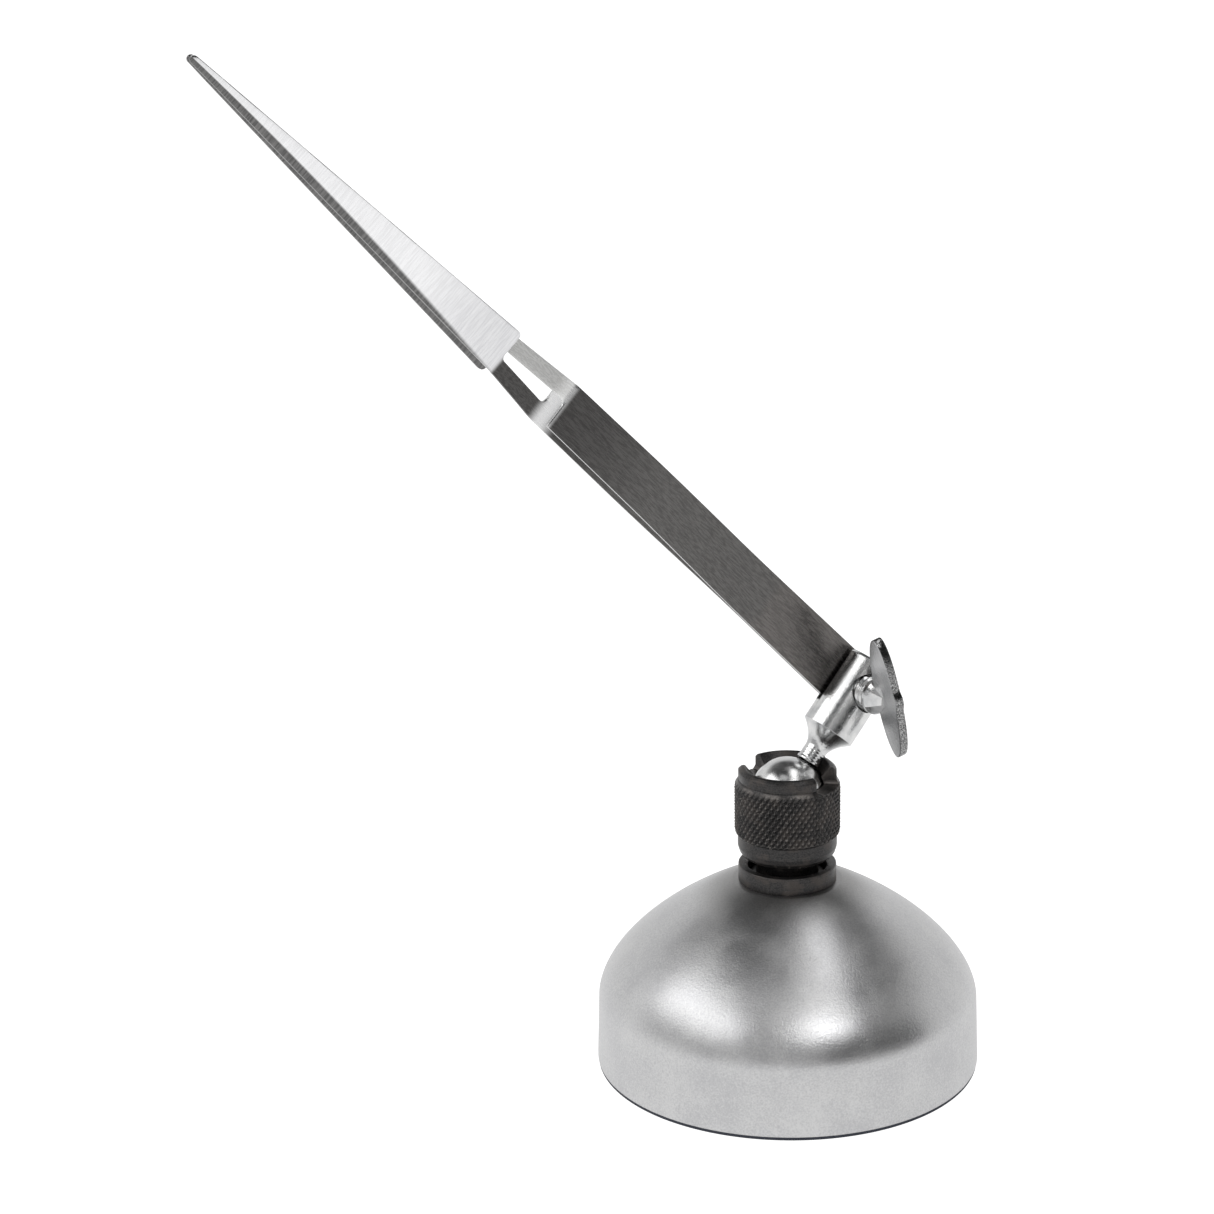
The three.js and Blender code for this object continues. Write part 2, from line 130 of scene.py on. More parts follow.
NUT_BAND_RADIUS = 8.15
NUT_BAND_TOP = 40.1
NUT_KNURL_BOTTOM = 40.8
NUT_KNURL_TOP = 48.6
NUT_SHOULDER_TOP = 49.6
NUT_NECK_RADIUS = 8.05
NUT_NECK_TOP = 51.2
NUT_CREST_RADIUS = 7.0
NUT_FOOT_RADIUS = 7.2
NUT_THREAD_RADIUS = 5.75
NUT_THREAD_TOP = 43.6
NUT_POCKET_RADIUS = 6.3
NUT_LIP_RADIUS = 5.6
NUT_LIP_DEPTH = 1.7
NOTCHES = ((-54, -6), (131, 177))   # degrees around Z
NOTCH_FLOOR = 48.9
KNURL_LINES = 52
KNURL_SLANT = math.radians(35)      # from the nut's axis
KNURL_DEPTH = 0.42

BALL_HEIGHT = joint_place("ball_tilt").z / MM
BALL_RADIUS = 6.0
BALL_HOLE_RADIUS = 1.8
BALL_HOLE_FLOOR = 2.7               # above the ball's centre

NECK_RADIUS = 1.92
NECK_SHOULDER = 2.05
NECK_START = 6.1
STEM_FOOT = 3.0                     # the stem's end inside the ball's hole
STEM_FOOT_RADIUS = 1.5
NECK_RINGS = 4
NECK_RING_PITCH = 0.50
FLARE_POWER = 1.9
FLARE_START = 8.4
CLAMP_RADIUS = 4.5
CLAMP_START = 12.1
CLAMP_END = 25.7
CLAMP_CHAMFER = 0.45
SLOT_START = 15.6
SLOT_NEAR_FACE = 0.8                # past the stem's axis
SLOT_WIDTH = 2.35
PIVOT = 20.9                        # of the tweezers and the screw, along the stem

SCREW_RADIUS = 3.0
SCREW_HOLE_RADIUS = 3.3
SCREW_TIP = -1.1
SCREW_SHOULDER = 6.2
SCREW_APEX = 8.6
SCREW_APEX_RADIUS = 1.3
THREAD_PITCH = 1.0
THREAD_DEPTH = 0.30
THREAD_STEP = 0.06                  # between the rings of points that draw it
THREAD_RUN_OUT = 0.5
CONE_SIDES = 6
CONE_TURN = 0.3                     # in radians
WING_LENGTH = 21.6
WING_WIDTH = 5.4
WING_INNER_EDGE = 6.6
WING_THICKNESS = 1.55
WING_SHIFT = 0.8                    # longer above the screw than below it
WING_EDGE = 0.22
WING_NUB = 0.45                     # height of the rivet's end on the wing's outer edge
WING_NUB_HALF = 1.3

STRIP_THICKNESS = 0.7
STRIP_EDGE = 0.16
TAIL_RADIUS = 4.7
TAIL_END = 24.0
SPREAD_END = 60.0
HANDLE_END = 77.8
HANDLE_FRONT_HALF = 3.9
TIP_START = 90.2
TIP_END = 158.0
TIP_POINT_RADIUS = 0.6
TIP_THICKNESS = 0.55
HANDLE_BOW = 2.4
TIP_BOW = 1.0
CLOSED_OFFSET = 0.5
CROSSING_INNER = 0.85
BEND_REACH = 1.3                    # each way along a strip, over which its bends are rounded
WELD_HALF_WIDTH = 4.3
WELD_ROUND = 0.995                  # the weld's radius as a share of the tail's
TIP_TWIST = math.radians(-6)
TWIST_START = HANDLE_END + 4        # the twist grows from here to the start of the tip
TIP_CROWN = 0.015                   # crown of the tip blades' outer faces, per mm of half width

REST_ATTRIBUTE = "rest_millimetres"

# ------------------------------------------------------------------ studio, in metres

CAMERA_PLACE = Vector((0, -0.4955, 0.2370))
CAMERA_TARGET = Vector((-0.02904, 0, 0.0789))
CAMERA_ROLL = math.radians(-0.97)
VIEW_ANGLE = math.radians(21.267)
SENSOR_WIDTH = 36                   # in millimetres
LIGHT_TARGET = Vector((0, 0, 0.03))
LIGHT_DISTANCE = 0.9
FLOOR_RADIUS = 4.0

# ------------------------------------------------------------------ mesh helpers


def add_to_scene(piece):
    bpy.context.scene.collection.objects.link(piece)
    return piece


def object_from(name, shape):
    """Scene object made from a bmesh, which is freed."""
    mesh = bpy.data.meshes.new(name)
    shape.to_mesh(mesh)
    shape.free()
    return add_to_scene(bpy.data.objects.new(name, mesh))


def rounded(corners, closed=True, steps=5):
    """Points of an outline whose corners (x, y, fillet) are turned into curves."""
    points = []
    count = len(corners)
    for index, (x, y, fillet) in enumerate(corners):
        here = Vector((x, y))
        if fillet <= 0 or (not closed and index in (0, count - 1)):
            points.append(here)
            continue
        before = Vector(corners[index - 1][:2]) - here
        after = Vector(corners[(index + 1) % count][:2]) - here
        half = before.angle(after) / 2
        reach = min(fillet / math.tan(half), 0.49 * before.length, 0.49 * after.length)
        start = here + before.normalized() * reach
        end = here + after.normalized() * reach
        for step in range(steps + 1):
            share = step / steps
            points.append(start.lerp(here, share).lerp(here.lerp(end, share), share))
    return points


def ring_angles(segments):
    return np.linspace(0, 2 * math.pi, segments, endpoint=False)


def ring(angles, radii, heights):
    """Points round Z; radii and heights are one number each, or one for every angle."""
    radii = np.broadcast_to(radii, len(angles))
    heights = np.broadcast_to(heights, len(angles))
    return np.stack([radii * np.cos(angles), radii * np.sin(angles), heights], axis=1)


def wrapped(rings, close_rows):
    """Vertices and quads between rings of points, and from the last to the first if `close_rows`."""
    points = np.array(rings)
    rows, columns = points.shape[:2]
    faces = []
    for row in range(rows if close_rows else rows - 1):
        below, above = row * columns, ((row + 1) % rows) * columns
        for column in range(columns):
            beside = (column + 1) % columns
            faces.append((below + column, below + beside, above + beside, above + column))
    return points.reshape(-1, 3).tolist(), faces


def mesh_object(name, vertices, faces):
    mesh = bpy.data.meshes.new(name)
    mesh.from_pydata(vertices, [], faces)
    piece = add_to_scene(bpy.data.objects.new(name, mesh))
    tidy(piece)
    return piece


def tidy(piece, merge=1e-4):
    """Merges doubled points, drops empty faces and turns the normals outwards."""
    shape = bmesh.new()
    shape.from_mesh(piece.data)
    bmesh.ops.remove_doubles(shape, verts=shape.verts, dist=merge)
    bmesh.ops.dissolve_degenerate(shape, edges=shape.edges, dist=merge)
    bmesh.ops.recalc_face_normals(shape, faces=shape.faces)
    shape.to_mesh(piece.data)
    shape.free()


def turned_piece(name, profile, segments=192, closed=True):
    """A profile of (radius, height) turned about Z."""
    angles = ring_angles(segments)
    rings = [ring(angles, radius, height) for radius, height in profile]
    return mesh_object(name, *wrapped(rings, closed))


def apply_modifiers(piece):
    """Bakes the modifiers into the mesh."""
    bpy.context.view_layer.update()
    graph = bpy.context.evaluated_depsgraph_get()
    mesh = bpy.data.meshes.new_from_object(piece.evaluated_get(graph))
    piece.modifiers.clear()
    piece.data = mesh


def cut(piece, *cutters):
    for cutter in cutters:
        change = piece.modifiers.new("cut", "BOOLEAN")
        change.operation = "DIFFERENCE"
        change.solver = "EXACT"
        change.object = cutter
    apply_modifiers(piece)
    for cutter in cutters:
        bpy.data.objects.remove(cutter)


def soften(piece, width, segments=2, angle=35):
    """Rounds the edges that turn by more than `angle` degrees."""
    change = piece.modifiers.new("soften", "BEVEL")
    change.width = width
    change.segments = segments
    change.limit_method = "ANGLE"
    change.angle_limit = math.radians(angle)
    change.use_clamp_overlap = False
    apply_modifiers(piece)
    tidy(piece)


def plate(name, outline, thickness, edge, sections=()):
    """A flat plate with rounded rims, cut at the planes in `sections` so that it can be bent."""
    shape = bmesh.new()
    base = shape.faces.new([shape.verts.new((x, y, -thickness / 2)) for x, y in outline])
    grown = bmesh.ops.extrude_face_region(shape, geom=[base])["geom"]
    raised = [part for part in grown if isinstance(part, bmesh.types.BMVert)]
    bmesh.ops.translate(shape, verts=raised, vec=(0, 0, thickness))
    bmesh.ops.recalc_face_normals(shape, faces=shape.faces)
    rims = [one for one in shape.edges if abs(one.verts[0].co.z - one.verts[1].co.z) < 1e-6]
    bmesh.ops.bevel(shape, geom=rims, offset=edge, segments=2, profile=0.6, affect="EDGES",
                    clamp_overlap=True)
    for point, normal in sections:
        everything = shape.verts[:] + shape.edges[:] + shape.faces[:]
        bmesh.ops.bisect_plane(shape, geom=everything, plane_co=point, plane_no=normal, dist=1e-5)
    return object_from(name, shape)


def keep_rest(piece):
    """Stores each vertex's own millimetres, so that a finish stays in place when a piece bends."""
    points = np.empty(3 * len(piece.data.vertices), np.float32)
    piece.data.vertices.foreach_get("co", points)
    stored = piece.data.attributes.new(REST_ATTRIBUTE, "FLOAT_VECTOR", "POINT")
    stored.data.foreach_set("vector", points)
    return piece


def place(piece, matrix, material, slot, sharp=38, flat=False):
    """Puts a finished piece in the CAD's frame, smooth but for edges sharper than `sharp`."""
    piece.data.transform(matrix)
    piece.data.materials.clear()
    piece.data.materials.append(material)
    piece.data.shade_smooth()
    piece.data.set_sharp_from_angle(angle=math.radians(sharp))
    if flat:
        change = piece.modifiers.new("flat_faces", "WEIGHTED_NORMAL")
        change.keep_sharp = True
    return piece


# ------------------------------------------------------------------ material helpers


class Nodes:
    """Short ways to build a node tree."""

    def __init__(self, tree):
        self.tree = tree

    def add(self, kind, **settings):
        node = self.tree.nodes.new(kind)
        for key, value in settings.items():
            setattr(node, key, value)
        return node

    def link(self, output, socket):
        self.tree.links.new(output, socket)

    def feed(self, socket, value):
        if isinstance(value, bpy.types.NodeSocket):
            self.link(value, socket)
        else:
            socket.default_value = value

    def math(self, operation, first, second=0.0, third=0.0):
        node = self.add("ShaderNodeMath", operation=operation)
        for socket, value in zip(node.inputs, (first, second, third)):
            self.feed(socket, value)
        return node.outputs[0]

    def times(self, first, second):
        return self.math("MULTIPLY", first, second)

    def rest_of(self, share):
        return self.math("SUBTRACT", 1.0, share)

    def fade(self, value, start, end, low=0.0, high=1.0, kind="SMOOTHSTEP"):
        """From `low` at `start` to `high` at `end`."""
        node = self.add("ShaderNodeMapRange", interpolation_type=kind)
        ends = {"Value": value, "From Min": start, "From Max": end, "To Min": low, "To Max": high}
        for key, number in ends.items():
            self.feed(node.inputs[key], number)
        return node.outputs["Result"]

    def is_camera_ray(self):
        return self.add("ShaderNodeLightPath").outputs["Is Camera Ray"]


class Finish(Nodes):
    """One Principled material, with texture coordinates in a piece's own millimetres.

    They come from the piece's place, or, with no matrix, from what `keep_rest` stored on its mesh.
    """

    def __init__(self, name, matrix, roughness, metallic=1.0):
        self.material = bpy.data.materials.new(name)
        self.material.use_nodes = True
        super().__init__(self.material.node_tree)
        self.surface = self.tree.nodes["Principled BSDF"]
        self.metallic(metallic)
        self.roughness(roughness)
        self.local = self.stored_place() if matrix is None else self.place_in(matrix)

    def stored_place(self):
        return self.add("ShaderNodeAttribute", attribute_name=REST_ATTRIBUTE).outputs["Vector"]

    def place_in(self, matrix):
        mapping = self.add("ShaderNodeMapping", vector_type="TEXTURE")
        self.link(self.add("ShaderNodeTexCoord").outputs["Object"], mapping.inputs["Vector"])
        place_at, turn, scale = matrix.decompose()
        mapping.inputs["Location"].default_value = place_at
        mapping.inputs["Rotation"].default_value = turn.to_euler()
        mapping.inputs["Scale"].default_value = scale
        return mapping.outputs["Vector"]

    def noise(self, size, detail=2.0, stretch=(1, 1, 1)):
        """Noise from 0 to 1 whose features are `size` mm, stretched along the local axes."""
        scaled = self.add("ShaderNodeVectorMath", operation="MULTIPLY")
        self.link(self.local, scaled.inputs[0])
        scaled.inputs[1].default_value = [1 / (size * part) for part in stretch]
        node = self.add("ShaderNodeTexNoise")
        self.link(scaled.outputs[0], node.inputs["Vector"])
        node.inputs["Scale"].default_value = 1.0
        node.inputs["Detail"].default_value = detail
        return node.outputs["Fac"]

    def axis(self, index):
        node = self.add("ShaderNodeSeparateXYZ")
        self.link(self.local, node.inputs[0])
        return node.outputs[index]

    def blend(self, share, first, second):
        """Colour between `first` and `second`."""
        node = self.add("ShaderNodeMix", data_type="RGBA")
        self.feed(node.inputs[0], share)
        self.feed(node.inputs[6], (*first, 1) if isinstance(first, tuple) else first)
        self.feed(node.inputs[7], (*second, 1) if isinstance(second, tuple) else second)
        return node.outputs[2]

    def colour(self, value):
        self.feed(self.surface.inputs["Base Color"], value)

    def metallic(self, value):
        self.feed(self.surface.inputs["Metallic"], value)

    def roughness(self, value):
        self.feed(self.surface.inputs["Roughness"], value)

    def bump(self, *layers):
        """Bump layers (height, strength, depth in mm), one on top of another."""
        normal = None
        for height, strength, depth in layers:
            node = self.add("ShaderNodeBump")
            node.inputs["Strength"].default_value = strength
            node.inputs["Distance"].default_value = depth * MM
            self.feed(node.inputs["Height"], height)
            if normal is not None:
                self.link(normal, node.inputs["Normal"])
            normal = node.outputs["Normal"]
        self.link(normal, self.surface.inputs["Normal"])


# ------------------------------------------------------------------ materials


def satin_nickel():
    look = Finish("satin_nickel", UPRIGHT, 0.34)
    grain = look.noise(0.30, 3)
    clouds = look.noise(8.0, 4)
    tone = look.math("ADD", look.times(grain, 0.55), look.times(clouds, 0.45))
    skin = look.blend(look.fade(tone, 0.34, 0.66), (0.49, 0.49, 0.50), (0.64, 0.64, 0.64))
    out = look.math("POWER", look.axis(0), 2.0)
    out = look.math("SQRT", look.math("MULTIPLY_ADD", look.axis(1), look.axis(1), out))
    # painted shade: the dome is coloured darker towards the collar, most at the dome's seat
    painted_collar_shade = look.fade(out, DOME_SEAT_RADIUS, DOME_SEAT_RADIUS + PAINTED_SHADE_REACH, 0.60, 0.0)
    look.colour(look.blend(painted_collar_shade, skin, (0.16, 0.155, 0.15)))
    look.roughness(look.fade(clouds, 0.35, 0.65, 0.31, 0.39))
    look.bump((grain, 0.50, 0.06), (look.noise(1.1, 2), 0.14, 0.08))
    return look.material


def black_oxide(name, matrix, highlight_height=None):
    """Black oxide over turned steel, brown on its edges from wear and in patches, with a painted highlight
    in a band at the height given as its last argument.
    """
    look = Finish(name, matrix, 0.42, 0.8)
    stains = look.noise(2.4, 4)
    grain = look.noise(0.25, 3)
    rings = look.noise(0.22, 2, (40, 40, 1))
    edges = look.fade(look.add("ShaderNodeNewGeometry").outputs["Pointiness"], 0.51, 0.60)
    wear_and_highlight = look.times(edges, look.fade(stains, 0.35, 0.6, 0.35, 1.0))
    if highlight_height is not None:
        # painted highlight: a patchy brown band round the nut at the given height, mixed in with the edge
        # wear
        gap = look.math("ABSOLUTE", look.math("SUBTRACT", look.axis(2), highlight_height))
        band = look.times(look.fade(gap, 0.45, 0.10), look.fade(stains, 0.40, 0.60, 0.15, 0.75))
        wear_and_highlight = look.math("MAXIMUM", wear_and_highlight, band)
    patchy = look.fade(look.math("ADD", stains, look.times(rings, 0.35)), 0.62, 0.85)
    skin = look.blend(look.fade(grain, 0.3, 0.7), (0.026, 0.026, 0.027), (0.060, 0.057, 0.056))
    brown = look.blend(look.times(patchy, 0.6), skin, (0.090, 0.078, 0.071))
    look.colour(look.blend(wear_and_highlight, brown, (0.225, 0.208, 0.196)))
    look.roughness(look.fade(stains, 0.3, 0.7, 0.30, 0.46))
    look.bump((rings, 0.30, 0.03), (grain, 0.40, 0.05))
    return look.material


def bright_plate(name, matrix, texture=0.25, roughness=0.16):
    """Bright plate over turned steel: fine turning rings and a slightly grainy skin."""
    look = Finish(name, matrix, roughness)
    grain = look.noise(0.28, 3)
    clouds = look.noise(2.5, 3)
    rings = look.noise(0.16, 2, (60, 60, 1))
    look.colour(look.blend(look.fade(clouds, 0.3, 0.7), (0.52, 0.525, 0.53), (0.72, 0.72, 0.715)))
    look.roughness(look.fade(clouds, 0.3, 0.7, roughness * 0.75, roughness * 1.35))
    look.bump((rings, 0.25, 0.02), (grain, texture, 0.06))
    return look.material


def wing_finish():
    """Duller plate on the wing's faces, and a dark, pitted rim."""
    look = Finish("bright_plate_wing", SCREW, 0.24)
    grain = look.noise(0.30, 3)
    clouds = look.noise(3.5, 3)
    pits = look.noise(0.20, 2)
    from_middle = look.math("ABSOLUTE", look.axis(1))
    rim = look.fade(from_middle, WING_THICKNESS / 2 - 0.10, WING_THICKNESS / 2 - 0.03, 1.0, 0.0)
    face = look.blend(look.fade(clouds, 0.3, 0.7), (0.40, 0.405, 0.41), (0.50, 0.50, 0.505))
    edge = look.blend(look.fade(pits, 0.42, 0.62), (0.09, 0.09, 0.09), (0.44, 0.44, 0.44))
    look.colour(look.blend(rim, face, edge))
    look.roughness(look.fade(rim, 0.0, 1.0, 0.26, 0.20))
    look.bump((grain, 0.30, 0.05), (look.times(pits, rim), 0.5, 0.05))
    return look.material


def handle_faces(look):
    """1 on the broad faces of the handles, where their dark reflection is painted, and 0 on their rims,
    the crossing and the tips.
    """
    along, depth = look.axis(0), look.axis(2)
    middle = look.fade(along, TAIL_END, SPREAD_END, CLOSED_OFFSET, HANDLE_BOW)
    beyond = look.math("SUBTRACT", look.math("ABSOLUTE", depth), middle)
    outer = look.times(look.math("GREATER_THAN", beyond, STRIP_THICKNESS * 0.3),
                       look.fade(along, HANDLE_END + 0.2, HANDLE_END - 0.9))
    inner = look.times(look.math("LESS_THAN", beyond, -STRIP_THICKNESS * 0.3),
                       look.fade(along, HANDLE_END - 1.5, HANDLE_END - 5.0))
    return look.math("MAXIMUM", outer, inner)


def lower_zone(look):
    """1 on a band along the tips' lower edge that widens towards their points, where shade is painted."""
    along, across = look.axis(0), look.axis(1)
    half = look.fade(along, TIP_START, TIP_END, HANDLE_FRONT_HALF, TIP_POINT_RADIUS, "LINEAR")
    share = look.math("MULTIPLY_ADD", look.math("DIVIDE", across, half), 0.5, 0.5)
    edge = look.fade(along, TIP_START, TIP_END, 0.05, 0.52, "LINEAR")
    return look.fade(look.math("SUBTRACT", share, edge), 0.06, -0.04)


def far_inner_face(look):
    """1 on the inner face of the tip that lies on the side of +Z, where shade is painted."""
    along, across, depth = look.axis(0), look.axis(1), look.axis(2)
    level = look.math("SUBTRACT", depth, look.times(across, math.sin(TIP_TWIST)))
    curve = look.math("POWER", look.fade(along, TIP_START, TIP_END, 0.0, 1.0, "LINEAR"), 3.0)
    curve = look.math("SQRT", look.rest_of(curve))
    skin = look.math("MULTIPLY_ADD", curve, TIP_BOW - CLOSED_OFFSET, CLOSED_OFFSET + 0.1)
    inner = look.math("LESS_THAN", look.math("ABSOLUTE", level), skin)
    return look.times(look.math("GREATER_THAN", level, 0.0), inner)


def tip_colour(look, fine):
    """Polished tips, duller at their root, with painted shade along their lower edge and on the far tip's
    inner face.
    """
    near_root = look.blend(fine, (0.66, 0.66, 0.675), (0.77, 0.77, 0.78))
    polished = look.blend(fine, (0.82, 0.82, 0.83), (0.92, 0.92, 0.93))
    polished = look.blend(look.fade(look.axis(0), TIP_START + 4, TIP_START + 22), near_root, polished)
    # painted shade: dark steel along the tips' lower edge and on the far tip's inner face
    painted_tip_shade = look.blend(fine, (0.10, 0.10, 0.10), (0.20, 0.197, 0.195))
    return look.blend(look.math("MAXIMUM", lower_zone(look), far_inner_face(look)), polished, painted_tip_shade)


def handle_colour(look, fine):
    """Painted dark reflection on the handles' steel, darkest towards their front ends, lighter and browner
    at the tail.
    """
    along = look.axis(0)
    painted_dark_reflection = look.blend(fine, (0.092, 0.089, 0.087), (0.145, 0.141, 0.137))
    darkest = look.blend(fine, (0.056, 0.054, 0.053), (0.094, 0.091, 0.089))
    painted_dark_reflection = look.blend(look.fade(along, SPREAD_END - 8, HANDLE_END - 4), painted_dark_reflection, darkest)
    tinted = look.blend(fine, (0.110, 0.104, 0.100), (0.170, 0.160, 0.154))
    ragged = look.math("ADD", along, look.times(look.noise(14.0, 3), 7.0))
    return look.blend(look.fade(ragged, 27.0, 29.0, 1.0, 0.0), painted_dark_reflection, tinted)


def brushed_steel():
    """Brushed steel with polished tips, a painted dark reflection on the handles and the lower crossing,
    and a matt upper crossing with a painted highlight at its bend.
    """
    look = Finish("tweezer_steel", None, 0.27)
    along, across = look.axis(0), look.axis(1)
    on_tip = look.fade(along, TIP_START - 0.6, TIP_START + 0.4)
    off_tip = look.rest_of(on_tip)
    lengthwise = look.noise(0.24, 4, (7, 1, 1))
    crosswise = look.noise(0.25, 3, (1, 12, 12))
    brush = look.math("ADD", look.times(lengthwise, off_tip), look.times(crosswise, on_tip))
    fine = look.fade(brush, 0.3, 0.7)

    is_lower = look.math("LESS_THAN", across, 0.0)
    lower = look.times(look.fade(along, HANDLE_END - 1.0, HANDLE_END + 1.6), off_tip)
    # painted dark reflection on the handles' faces and the lower crossing
    dark = look.math("MAXIMUM", handle_faces(look), look.times(lower, is_lower))
    upper = look.times(look.fade(along, HANDLE_END - 0.1, HANDLE_END + 0.8), off_tip)
    upper = look.times(upper, look.rest_of(is_lower))

    plain = look.blend(brush, (0.62, 0.62, 0.625), (0.82, 0.82, 0.82))
    bright = look.blend(on_tip, plain, tip_colour(look, fine))
    matt = look.blend(fine, (0.55, 0.55, 0.54), (0.61, 0.61, 0.60))
    # painted highlight: the upper crossing is coloured lighter towards its bend at the handle's end
    bend_highlight = look.fade(along, HANDLE_END + 3.2, HANDLE_END + 1.0)
    matt = look.blend(bend_highlight, matt, (0.84, 0.84, 0.83))
    look.colour(look.blend(upper, look.blend(dark, bright, handle_colour(look, fine)), matt))
    look.metallic(look.fade(upper, 0.0, 1.0, 1.0, 0.15))
    rough = look.fade(brush, 0.3, 0.7, 0.24, 0.31)
    look.roughness(look.times(rough, look.fade(on_tip, 0.0, 1.0, 1.0, 0.6)))
    look.bump((brush, 0.14, 0.012))
    return look.material


def rubber():
    look = Finish("pad_rubber", UPRIGHT, 0.85, 0.0)
    look.colour(look.blend(look.noise(0.8, 3), (0.018, 0.021, 0.032), (0.040, 0.045, 0.06)))
    look.bump((look.noise(0.4, 3), 0.5, 0.08))
    return look.material


def cast_iron():
    look = Finish("weight_iron", UPRIGHT, 0.7, 0.6)
    look.colour(look.blend(look.noise(2.0, 4), (0.12, 0.11, 0.105), (0.26, 0.24, 0.23)))
    look.bump((look.noise(0.7, 4), 0.8, 0.15))
    return look.material


def nylon():
    look = Finish("seat_nylon", UPRIGHT, 0.5, 0.0)
    look.colour(look.blend(look.noise(1.5, 3), (0.70, 0.67, 0.60), (0.80, 0.78, 0.72)))
    look.bump((look.noise(0.3, 2), 0.2, 0.03))
    return look.material


# ------------------------------------------------------------------ base


def dome_profile(inset, steps):
    """Points on the dome from the top of the wall to the edge of the seat, set in by `inset`."""
    reach = WALL_TOP_RADIUS - DOME_SEAT_RADIUS - inset / 2
    rise = DOME_TOP - WALL_HEIGHT - inset
    points = []
    for step in range(steps + 1):
        angle = (math.pi / 2) * step / steps
        radius = DOME_SEAT_RADIUS - inset / 2 + reach * max(math.cos(angle), 0) ** DOME_RADIAL_POWER
        points.append((radius, WALL_HEIGHT + rise * math.sin(angle) ** DOME_HEIGHT_POWER, 0))
    return points


def base_shell():
    outline = rounded([
        (BASE_RADIUS - SHELL_THICKNESS, RIM_HEIGHT, 0.3),
        (BASE_RADIUS, RIM_HEIGHT, 0.45),
        *dome_profile(0, 90),
        (SHELL_HOLE_RADIUS, DOME_TOP, 0.2),
        (SHELL_HOLE_RADIUS, DOME_TOP - SHELL_THICKNESS, 0.2),
        *reversed(dome_profile(SHELL_THICKNESS, 30)),
    ])
    return turned_piece("base_dome", outline, 288)


def base_pad():
    radius = BASE_RADIUS - PAD_INSET
    outline = rounded([(0, 0, 0), (radius, 0, 0.4), (radius, PAD_TOP, 0.4), (0, PAD_TOP, 0)],
                      closed=False)
    return turned_piece("rubber_pad", outline, closed=False)


def collar_ring():
    radius, low, high = COLLAR_HIGH.x, COLLAR_LOW.z, COLLAR_HIGH.z
    outline = rounded([
        (COLLAR_INNER_RADIUS, low, 0.1),
        (radius, low, 0.12),
        (radius, high, 0.28),
        (COLLAR_INNER_RADIUS + COLLAR_CHAMFER, high, 0.15),
        (COLLAR_INNER_RADIUS, high - COLLAR_CHAMFER, 0.15),
    ])
    return turned_piece("collar", outline)


def socket_post():
    flange_top = DOME_TOP + FLANGE_THICKNESS
    outline = rounded([
        (0, POST_LOW.z, 0),
        (STUD_RADIUS - 0.6, POST_LOW.z, 0.2),
        (STUD_RADIUS, POST_LOW.z + 0.6, 0.2),
        (STUD_RADIUS, DOME_TOP, 0.05),
        (FLANGE_RADIUS, DOME_TOP, 0.1),
        (FLANGE_RADIUS, flange_top, 0.2),
        (STUD_RADIUS, flange_top, 0.3),
        (STUD_RADIUS, NUT_LOW.z - 1, 0.2),
        (POST_THREAD_RADIUS, NUT_LOW.z - 0.5, 0.2),
        (POST_THREAD_RADIUS, POST_HIGH.z - 0.4, 0.2),
        (POST_THREAD_RADIUS - 0.4, POST_HIGH.z, 0.1),
        (0, POST_HIGH.z, 0),
    ], closed=False)
    return turned_piece("threaded_post", outline, 128, closed=False)


# ------------------------------------------------------------------ lock nut and ball


def triangle_wave(value):
    """1 at whole numbers and 0 half way between them."""
    return np.abs(2 * (value - np.floor(value)) - 1)


def knurled_radius(angles, height):
    """Radius of the diamond knurl: two slanting families of ridges, one cut deeper."""
    spacing = 2 * math.pi * NUT_HIGH.x / KNURL_LINES
    across = KNURL_LINES * angles / (2 * math.pi)
    slip = height * math.tan(KNURL_SLANT) / spacing
    shallow = 0.30 + 0.70 * triangle_wave(across + slip)
    ridges = np.minimum(triangle_wave(across - slip), shallow)
    return NUT_HIGH.x - KNURL_DEPTH * (1 - np.minimum(1.0, 1.15 * ridges))


def notch_caps():
    """Angles round the nut and the height at which each is cut off, with rounded notch corners."""
    full = NUT_HIGH.z + 0.2
    corner, bottom = 0.7, 0.5
    lean = 1e-3                     # keeps a wall's angles apart, in mm round the nut per mm of height
    angles, caps = [], []
    for start, end in NOTCHES:
        for side, edge in ((-1, math.radians(start)), (1, math.radians(end))):
            shape = rounded([(3.0, full, 0), (0, full, corner), (0, NOTCH_FLOOR, bottom),
                             (-1.5, NOTCH_FLOOR, 0)], closed=False, steps=8)
            for along, height in shape[1:-1]:
                along += lean * (height - NOTCH_FLOOR)
                angles.append(edge + side * along / NUT_NECK_RADIUS)
                caps.append(height)
    return np.array(angles) % (2 * math.pi), np.array(caps)


def nut_cap_heights(angles):
    """Height at which each angle round the nut is cut off."""
    edge_angles, edge_caps = notch_caps()
    order = np.argsort(edge_angles)
    return np.interp(angles, edge_angles[order], edge_caps[order], period=2 * math.pi)


